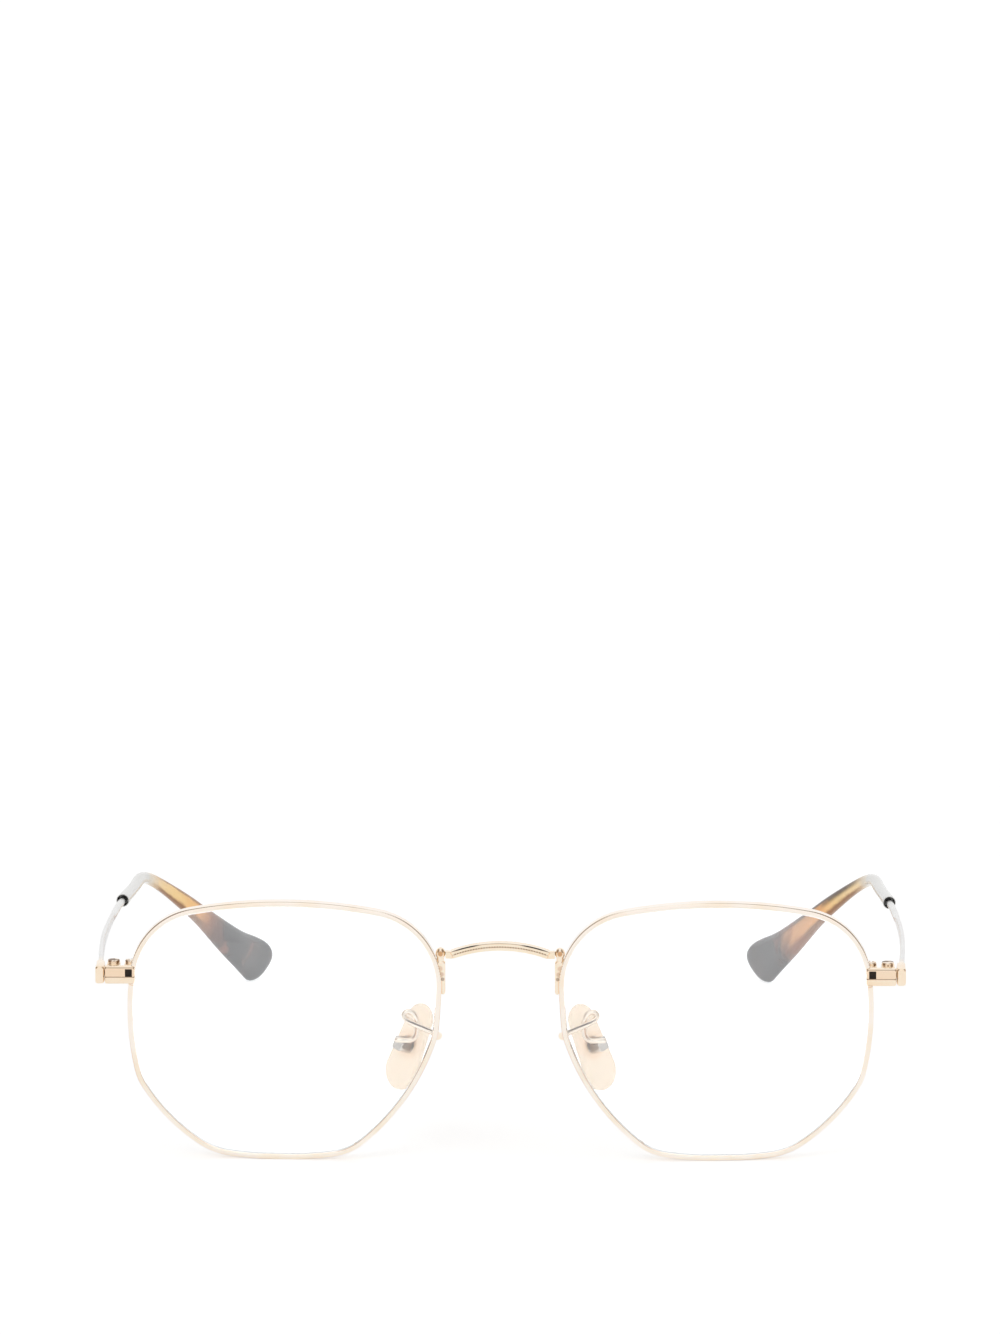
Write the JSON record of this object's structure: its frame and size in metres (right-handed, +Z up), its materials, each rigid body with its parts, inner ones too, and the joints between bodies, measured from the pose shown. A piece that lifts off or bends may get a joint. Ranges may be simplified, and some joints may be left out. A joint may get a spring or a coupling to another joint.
{
  "type": "eyeglasses",
  "caption": "Metal eyeglasses with hexagonal rims, clear lenses, folding temples with curved tips, and rocking nose pads on wire arms.",
  "frame": {"origin": "middle of the whole object's box, on the surface that the rims and temple tips stand on", "axes": "+Z up, -Y the way the lenses face, +X to the right as seen from the front"},
  "size_m": [0.138, 0.1334, 0.0442],
  "materials": {
    "gold_metal": "polished gold plate over a nickel alloy",
    "screw_steel": "small machined screws",
    "pad_metal": "polished silver-coloured metal",
    "clear_lens": "clear polished lens",
    "tip_plastic": "polished tortoise acetate, amber to near black",
    "pad_soft": "translucent pale soft pad"
  },
  "bodies": {
    "front": {"bridge": "gold_metal", "left_rim": "gold_metal", "left_lens": "clear_lens", "left_bridge_foot": "gold_metal", "left_endpiece": "gold_metal", "left_rim_lock_upper": "gold_metal", "left_rim_lock_lower": "gold_metal", "left_rim_lock_screw": "screw_steel", "left_front_hinge_leaf": "gold_metal", "left_hinge_screw": "screw_steel", "left_pad_box": "pad_metal", "left_pad_screw": "screw_steel", "left_pad_arm": "gold_metal", "right_rim": "gold_metal", "right_lens": "clear_lens", "right_bridge_foot": "gold_metal", "right_endpiece": "gold_metal", "right_rim_lock_upper": "gold_metal", "right_rim_lock_lower": "gold_metal", "right_rim_lock_screw": "screw_steel", "right_front_hinge_leaf": "gold_metal", "right_hinge_screw": "screw_steel", "right_pad_box": "pad_metal", "right_pad_screw": "screw_steel", "right_pad_arm": "gold_metal"},
    "left_temple": {"left_temple_hinge_leaf": "gold_metal", "left_temple_bar": "gold_metal", "left_temple_tip": "tip_plastic"},
    "right_temple": {"right_temple_hinge_leaf": "gold_metal", "right_temple_bar": "gold_metal", "right_temple_tip": "tip_plastic"},
    "left_pad": {"left_nose_pad": "pad_soft", "left_pad_stud": "pad_metal"},
    "right_pad": {"right_nose_pad": "pad_soft", "right_pad_stud": "pad_metal"}
  },
  "joints": [
    {"name": "left_temple_fold", "type": "hinge", "parent": "front", "child": "left_temple", "pos_m": [-0.06468, -0.06001, 0.0311], "axis": [0, 0, -1], "range_deg": [0, 80]},
    {"name": "right_temple_fold", "type": "hinge", "parent": "front", "child": "right_temple", "pos_m": [0.06468, -0.06001, 0.0311], "axis": [0, 0, 1], "range_deg": [0, 68]},
    {"name": "left_pad_rock", "type": "hinge", "parent": "front", "child": "left_pad", "pos_m": [-0.01642, -0.05931, 0.01868], "axis": [-0.6645, 0.7071, 0.2418], "range_deg": [-8, 8]},
    {"name": "right_pad_rock", "type": "hinge", "parent": "front", "child": "right_pad", "pos_m": [0.01642, -0.05931, 0.01868], "axis": [0.6645, 0.7071, 0.2418], "range_deg": [-8, 8]}
  ]
}
